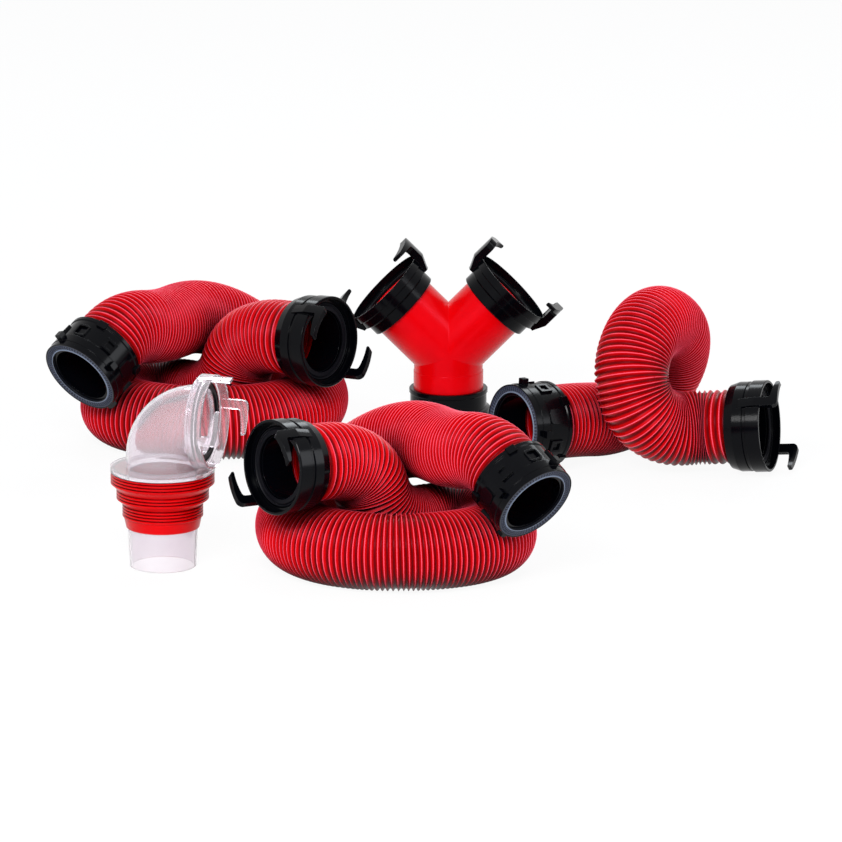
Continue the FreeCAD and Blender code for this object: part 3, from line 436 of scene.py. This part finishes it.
class Path:
    """A line by distance along it: its centre and two directions square to it, turned little."""

    def __init__(self, line):
        steps = np.linalg.norm(np.diff(line, axis=0), axis=1)
        self.at = np.concatenate([[0.0], np.cumsum(steps)])
        self.length = float(self.at[-1])
        self.centre = line
        along = np.gradient(line, self.at, axis=0)
        along /= np.linalg.norm(along, axis=1)[:, None]
        across = np.zeros_like(line)
        previous = np.array(UP)
        for i, way in enumerate(along):
            previous = previous - way * previous.dot(way)
            previous /= np.linalg.norm(previous)
            across[i] = previous
        self.across = across
        self.aside = np.cross(along, across)

    def mix(self, values, distance):
        """A direction or point at each distance."""
        return np.stack([np.interp(distance, self.at, values[:, k]) for k in range(3)], axis=-1)

    def skin(self, distance, radius, angle):
        """Points of a skin at each distance, radius and angle round the line."""
        offset = (np.cos(angle)[..., None] * self.mix(self.across, distance)
                  + np.sin(angle)[..., None] * self.mix(self.aside, distance))
        return self.mix(self.centre, distance) + radius[..., None] * offset


# one turn of the hose's wire, outside and inside: share of the pitch, height between valley and crest
RIB = [(0.0, 1.0), (0.10, 0.86), (0.20, 0.40), (0.42, 0.06), (0.64, 0.10), (0.86, 0.62)]
RIDGE = [(0.0, 1.0), (0.34, 0.15), (0.68, 0.25)]
RIDGE_HEIGHT = 2.2 * MM
SIDES = 60

# where the turns start, the widths of the ones beside a fitting, and how uneven the others are
FIRST_TURN = CUFF - 2 * PITCH
END_TURNS = (0.8, 1.2, 1.9, 1.8, 1.45, 1.1)
TURN_JITTER = 0.10
SWELL_KEPT = 0.85
SWELL_SHARE = 0.5


def turn_places(length, seed):
    """Where each turn of the wire starts: wide turns beside the fittings, then close and uneven ones."""
    draw = random.Random(seed)
    span = length - 2 * FIRST_TURN
    count = round(span / PITCH - 2 * (sum(END_TURNS) - len(END_TURNS)))
    widths = [1.0] * count
    swell = 0.0
    for i in range(count):
        swell = SWELL_KEPT * swell + draw.uniform(-TURN_JITTER, TURN_JITTER) * SWELL_SHARE
        widths[i] = 1.0 + swell + draw.uniform(-TURN_JITTER, TURN_JITTER)
    for i, width in enumerate(END_TURNS):
        widths[i] = width
        widths[-1 - i] = width
    ends = np.concatenate([[0.0], np.cumsum(widths)])
    return FIRST_TURN + span * ends / ends[-1]


class Skin:
    """Points and faces of a hose, with how high each point lies on its rib."""

    def __init__(self, path):
        self.path = path
        self.points = []
        self.ribs = []
        self.faces = []

    def add(self, distance, radius, rib):
        """Rows of points at these distances and radii, and their numbers."""
        angle = np.broadcast_to(2 * math.pi * np.arange(SIDES) / SIDES, distance.shape)
        points = self.path.skin(distance, radius, angle)
        points[..., 2] = np.maximum(points[..., 2], 0.0)
        first = len(self.points)
        self.points.extend(points.reshape(-1, 3).tolist())
        self.ribs.extend(np.broadcast_to(rib, distance.shape).ravel().tolist())
        return first + np.arange(distance.size).reshape(distance.shape)

    def wound(self, places, profile, low, high):
        """A wire-wound skin. Each turn of its rows is joined to the next along one seam."""
        shift = len(profile)
        turns = len(places) - 1
        rows = np.arange((turns - 1) * shift + 1)
        share = np.array([p[0] for p in profile])[rows % shift]
        height = np.array([p[1] for p in profile])[rows % shift]
        phase = (rows // shift + share)[:, None] + np.arange(SIDES)[None, :] / SIDES
        distance = np.interp(phase, np.arange(turns + 1), places)
        grown = np.clip(np.minimum(phase - 1.0, turns - 1.0 - phase), 0.0, 1.0)
        rib = height[:, None] * grown
        numbers = self.add(distance, low + (high - low) * rib, rib)
        self.faces += np.stack([numbers[:-1, :-1], numbers[:-1, 1:], numbers[1:, 1:], numbers[1:, :-1]],
                               -1).reshape(-1, 4).tolist()
        self.faces += np.stack([numbers[:-1 - shift, -1], numbers[shift:-1, 0], numbers[shift + 1:, 0],
                                numbers[1:-shift, -1]], -1).tolist()
        return numbers

    def ring(self, distance, radius):
        """A plain ring square to the line."""
        return self.add(np.full((1, SIDES), distance), np.full((1, SIDES), radius), 0.0)[0]

    def join(self, first, second):
        """Faces between two rings."""
        after = np.roll(first, -1), np.roll(second, -1)
        self.faces += np.stack([first, after[0], after[1], second], -1).tolist()

    def close(self, ring, edge, seam):
        """Faces between a plain ring and the stepped edge of a wound skin."""
        self.faces += np.stack([ring[:-1], ring[1:], edge[1:], edge[:-1]], -1).tolist()
        self.faces.append([ring[-1], ring[0], *seam, edge[-1]])

    def mesh(self, name):
        """The closed mesh, with its ribs' heights as an attribute."""
        made = bpy.data.meshes.new(name)
        made.from_pydata(self.points, [], [[int(n) for n in face] for face in self.faces])
        made.attributes.new("rib", "FLOAT", "POINT").data.foreach_set("value", self.ribs)
        bm = bmesh.new()
        bm.from_mesh(made)
        bmesh.ops.recalc_face_normals(bm, faces=bm.faces)
        bm.to_mesh(made)
        bm.free()
        return made


def hose_mesh(name, path, seed):
    """The hose: a ribbed skin outside, a softer ribbed one inside, and plain ends."""
    places = turn_places(path.length, seed)
    skin = Skin(path)
    ends = []
    for profile, radius, low, high in ((RIB, CUFF_RADIUS, VALLEY_RADIUS, CREST_RADIUS),
                                       (RIDGE, BORE_RADIUS, BORE_RADIUS, BORE_RADIUS + RIDGE_HEIGHT)):
        numbers = skin.wound(places, profile, low, high)
        shift = len(profile)
        first = skin.ring(0.0, radius)
        last = skin.ring(path.length, radius)
        skin.close(first, numbers[0], numbers[:shift + 1, 0])
        skin.close(last, numbers[-1], [numbers[-1, 0], *numbers[-1 - shift:-1, -1]])
        ends.append((first, last))
    skin.join(ends[0][0], ends[1][0])
    skin.join(ends[0][1], ends[1][1])
    return skin.mesh(name)


def make_hose(side, route, seed):
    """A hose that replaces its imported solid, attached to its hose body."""
    line = smooth_line(route)
    path = Path(line)
    hose = link(side + "_hose_skin", hose_mesh(side + "_hose_skin", path, seed), RED_HOSE)
    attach(hose, side + "_hose_body")
    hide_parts(side + "_hose")


def finish_nodes():
    """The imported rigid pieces, each with its own plastic or rubber."""
    finishes = {"fitting_black": BLACK, "seal_navy": RUBBER, "wye_red": WYE_RED, "clear_plastic": CLEAR,
                "adapter_red": ADAPTER_RED}
    seals = {side + "_lug_seal": end for side, end in LUG_ENDS.items()}
    slot_of = {part["node"]: part["material_slot"] for part in frame["record"]["subparts"]}
    for name, node in frame["nodes"].items():
        finish = seal_material(node, *seals[name]) if name in seals else finishes.get(slot_of[name])
        if finish is None:
            continue
        for slot in node.material_slots:
            slot.material = finish


def thumb_floor(side, mouth, way):
    """The floor that one thumb pocket of a hose's lug collar lacks."""
    across = way.cross(UP).normalized()
    turn = math.radians(THUMB_TURNS[side])
    out = across * math.cos(turn) + across.cross(way) * math.sin(turn)
    middle = mouth - way * THUMB_BACK + out * THUMB_FLOOR
    mesh = bpy.data.meshes.new(side + "_thumb_floor")
    bm = bmesh.new()
    bmesh.ops.create_cone(bm, cap_ends=True, segments=THUMB_SIDES, radius1=THUMB_RADIUS,
                          radius2=THUMB_RADIUS, depth=THUMB_THICK, matrix=seat(middle, out))
    bm.to_mesh(mesh)
    bm.free()
    plate = link(side + "_thumb_floor", mesh, BLACK, smooth=False)
    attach(plate, side + "_lug_ring")


# the lamps: place, size, power and colour; they look at one point, and a pale surround fills in
LAMPS = {"key_lamp": ((-0.7, -2.9, 1.9), (1.5, 0.8), 92, (1, 1, 1)),
         "back_lamp": ((0.3, 1.7, 1.9), (2.4, 0.6), 34, (0.90, 0.96, 1.0)),
         "side_lamp": ((2.2, -1.2, 1.0), (0.8, 1.2), 16, (0.92, 0.95, 1.0))}
LAMPS_AIM = Vector((-0.05, -0.4, 0.1))
SURROUND = 0.42
SURROUND_COLOUR = (0.93, 0.95, 1.0, 1)


def area_light(name, place, size, power, colour):
    """A soft rectangular lamp that looks at the lamps' point."""
    data = bpy.data.lights.new(name, "AREA")
    data.shape = "RECTANGLE"
    data.size, data.size_y = size
    data.energy = power
    data.color = colour
    lamp = bpy.data.objects.new(name, data)
    bpy.context.scene.collection.objects.link(lamp)
    lamp.location = place
    lamp.rotation_euler = (LAMPS_AIM - Vector(place)).to_track_quat("-Z", "Y").to_euler()


def make_lights():
    """Soft studio light: a broad one above in front, one from behind for the rims, one from the side."""
    for name, lamp in LAMPS.items():
        area_light(name, *lamp)
    world = bpy.data.worlds.new("surround")
    bpy.context.scene.world = world
    world.use_nodes = True
    tree = world.node_tree
    light = tree.nodes["Background"]
    light.inputs["Color"].default_value = SURROUND_COLOUR
    light.inputs["Strength"].default_value = SURROUND
    white = tree.nodes.new("ShaderNodeBackground")
    white.inputs["Color"].default_value = WHITE
    factor = mixed(tree, light, white, tree.nodes["World Output"].inputs["Surface"])
    tree.links.new(seen_rays(tree), factor)


def seen_rays(tree):
    """One where the ray comes from the camera, from a gloss or through a clear piece."""
    rays = tree.nodes.new("ShaderNodeLightPath")
    seen = rays.outputs["Is Camera Ray"]
    for kind in ("Is Glossy Ray", "Is Transmission Ray"):
        either = tree.nodes.new("ShaderNodeMath")
        either.operation = "MAXIMUM"
        tree.links.new(seen, either.inputs[0])
        tree.links.new(rays.outputs[kind], either.inputs[1])
        seen = either.outputs[0]
    return seen


def mixed(tree, first, second, target):
    """A mix of two shaders into a target, and the mix's factor input."""
    mix = tree.nodes.new("ShaderNodeMixShader")
    tree.links.new(first.outputs[0], mix.inputs[1])
    tree.links.new(second.outputs[0], mix.inputs[2])
    tree.links.new(mix.outputs[0], target)
    return mix.inputs[0]


FLOOR_SIDE = 30.0
FLOOR_GAP = 0.2 * MM
FLOOR_GLOW = 0.93
FLOOR_COLOUR = (0.93, 0.93, 0.94, 1)


def make_floor():
    g = Graph("floor_paper")
    g.shade(Base_Color=FLOOR_COLOUR, Roughness=0.9)
    tree = g.tree
    glow = tree.nodes.new("ShaderNodeEmission")
    glow.inputs["Color"].default_value = WHITE
    part = tree.nodes.new("ShaderNodeMath")
    part.operation = "MULTIPLY"
    part.inputs[1].default_value = FLOOR_GLOW
    tree.links.new(seen_rays(tree), part.inputs[0])
    output = tree.nodes["Material Output"].inputs["Surface"]
    tree.links.new(part.outputs[0], mixed(tree, g.shader, glow, output))
    mesh = bpy.data.meshes.new("floor")
    corners = [(x * FLOOR_SIDE, y * FLOOR_SIDE, 0) for x, y in ((-1, -1), (1, -1), (1, 1), (-1, 1))]
    mesh.from_pydata(corners, [], [(0, 1, 2, 3)])
    floor = link("floor", mesh, g.material)
    floor.location.z = -FLOOR_GAP


make_camera()
make_hose("front", placed(coil_route(), FRONT_PLACE), seed=3)
make_hose("left", placed(coil_route(), LEFT_PLACE, -1), seed=5)
make_hose("short", placed(short_route(), SHORT_PLACE), seed=7)
finish_nodes()
for side in THUMB_TURNS:
    thumb_floor(side, *LUG_ENDS[side])
make_lights()
make_floor()
bpy.context.scene.view_settings.view_transform = "Standard"
